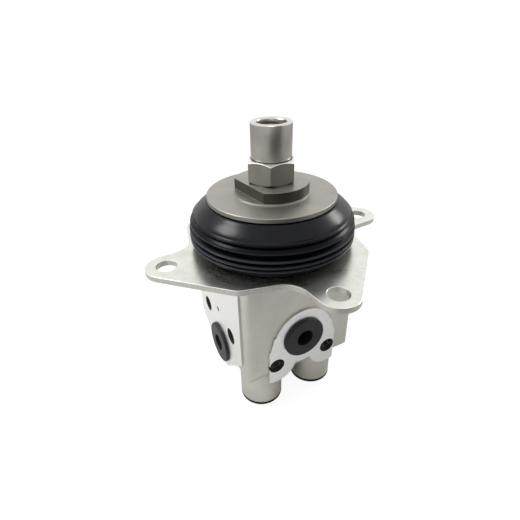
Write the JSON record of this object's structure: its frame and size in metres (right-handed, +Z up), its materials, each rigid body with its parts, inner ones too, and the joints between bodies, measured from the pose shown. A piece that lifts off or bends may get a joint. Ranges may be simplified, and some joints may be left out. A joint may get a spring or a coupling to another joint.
{
  "type": "hydraulic pilot joystick valve",
  "caption": "Hydraulic pilot valve: cast body with round feet and flange ports, eared mounting plate, bellows boot, tilting swash disk, lock nut and threaded lever sleeve.",
  "frame": {"origin": "on the lever axis, at the underside of the mounting plate, which is the body's top face", "axes": "+Z up the lever axis, -Y out of the front port, -X out of the side port"},
  "size_m": [0.1376, 0.1376, 0.1556],
  "materials": {
    "cast_aluminium": "sand-cast and blasted, with bright milled pads",
    "zinc_plate": "sheet steel, bright zinc plated",
    "black_rubber": "moulded nitrile rubber, soft sheen",
    "black_plastic": "moulded polyethylene",
    "spring_steel": "oiled spring wire",
    "bushing_steel": "turned steel",
    "blasted_steel": "turned steel, blasted and phosphated",
    "ground_steel": "hardened and ground steel"
  },
  "bodies": {
    "housing": {"valve_body": "cast_aluminium", "mounting_plate": "zinc_plate", "plate_screws": "zinc_plate", "base_yoke": "blasted_steel", "boot": "black_rubber", "clamp_ring": "zinc_plate", "front_port_plug": "black_plastic", "side_port_plug": "black_plastic", "guide_bushing_1": "bushing_steel", "pusher_seal_1": "black_rubber", "bushing_oring_1": "black_rubber", "return_spring_1": "spring_steel", "foot_plug_1": "black_plastic", "guide_bushing_2": "bushing_steel", "pusher_seal_2": "black_rubber", "bushing_oring_2": "black_rubber", "return_spring_2": "spring_steel", "foot_plug_2": "black_plastic", "guide_bushing_3": "bushing_steel", "pusher_seal_3": "black_rubber", "bushing_oring_3": "black_rubber", "return_spring_3": "spring_steel", "foot_plug_3": "black_plastic", "guide_bushing_4": "bushing_steel", "pusher_seal_4": "black_rubber", "bushing_oring_4": "black_rubber", "return_spring_4": "spring_steel", "foot_plug_4": "black_plastic"},
    "cross": {"joint_cross": "ground_steel", "base_pin": "ground_steel", "stud_pins": "ground_steel"},
    "lever": {"stud_yoke": "blasted_steel", "cam_disk": "blasted_steel", "lock_nut": "blasted_steel", "lever_coupling": "blasted_steel"},
    "plunger_1": {"pusher_1": "ground_steel", "spring_seat_1": "ground_steel"},
    "spool_1": {"spool_1": "ground_steel", "balance_spring_1": "spring_steel"},
    "plunger_2": {"pusher_2": "ground_steel", "spring_seat_2": "ground_steel"},
    "spool_2": {"spool_2": "ground_steel", "balance_spring_2": "spring_steel"},
    "plunger_3": {"pusher_3": "ground_steel", "spring_seat_3": "ground_steel"},
    "spool_3": {"spool_3": "ground_steel", "balance_spring_3": "spring_steel"},
    "plunger_4": {"pusher_4": "ground_steel", "spring_seat_4": "ground_steel"},
    "spool_4": {"spool_4": "ground_steel", "balance_spring_4": "spring_steel"}
  },
  "joints": [
    {"name": "lever_tilt_u", "type": "hinge", "parent": "housing", "child": "cross", "pos_m": [0, 0, 0.0165], "axis": [0.7071, 0.7071, 0], "range_deg": [-19, 19], "stiffness_Nm_per_rad": 3, "deforming": ["boot"]},
    {"name": "lever_tilt_v", "type": "hinge", "parent": "cross", "child": "lever", "pos_m": [0, 0, 0.0165], "axis": [-0.7071, 0.7071, 0], "range_deg": [-19, 19], "stiffness_Nm_per_rad": 3, "deforming": ["boot"]},
    {"name": "pusher_1_slide", "type": "slide", "parent": "housing", "child": "plunger_1", "axis": [0, 0, 1], "range_m": [-0.0082, 0.0082], "deforming": ["return_spring_1", "balance_spring_1"]},
    {"name": "spool_1_slide", "type": "slide", "parent": "housing", "child": "spool_1", "axis": [0, 0, 1], "range_m": [-0.0025, 0.0025], "deforming": ["balance_spring_1"]},
    {"name": "pusher_2_slide", "type": "slide", "parent": "housing", "child": "plunger_2", "axis": [0, 0, 1], "range_m": [-0.0082, 0.0082], "deforming": ["return_spring_2", "balance_spring_2"]},
    {"name": "spool_2_slide", "type": "slide", "parent": "housing", "child": "spool_2", "axis": [0, 0, 1], "range_m": [-0.0025, 0.0025], "deforming": ["balance_spring_2"]},
    {"name": "pusher_3_slide", "type": "slide", "parent": "housing", "child": "plunger_3", "axis": [0, 0, 1], "range_m": [-0.0082, 0.0082], "deforming": ["return_spring_3", "balance_spring_3"]},
    {"name": "spool_3_slide", "type": "slide", "parent": "housing", "child": "spool_3", "axis": [0, 0, 1], "range_m": [-0.0025, 0.0025], "deforming": ["balance_spring_3"]},
    {"name": "pusher_4_slide", "type": "slide", "parent": "housing", "child": "plunger_4", "axis": [0, 0, 1], "range_m": [-0.0082, 0.0082], "deforming": ["return_spring_4", "balance_spring_4"]},
    {"name": "spool_4_slide", "type": "slide", "parent": "housing", "child": "spool_4", "axis": [0, 0, 1], "range_m": [-0.0025, 0.0025], "deforming": ["balance_spring_4"]}
  ],
  "couplings": [
    {"joint": "pusher_1_slide", "follows": "lever_tilt_v", "m_per_rad": -0.0246},
    {"joint": "spool_1_slide", "follows": "lever_tilt_v", "m_per_rad": -0.0075},
    {"joint": "pusher_2_slide", "follows": "lever_tilt_u", "m_per_rad": 0.0246},
    {"joint": "spool_2_slide", "follows": "lever_tilt_u", "m_per_rad": 0.0075},
    {"joint": "pusher_3_slide", "follows": "lever_tilt_v", "m_per_rad": 0.0246},
    {"joint": "spool_3_slide", "follows": "lever_tilt_v", "m_per_rad": 0.0075},
    {"joint": "pusher_4_slide", "follows": "lever_tilt_u", "m_per_rad": -0.0246},
    {"joint": "spool_4_slide", "follows": "lever_tilt_u", "m_per_rad": -0.0075}
  ]
}
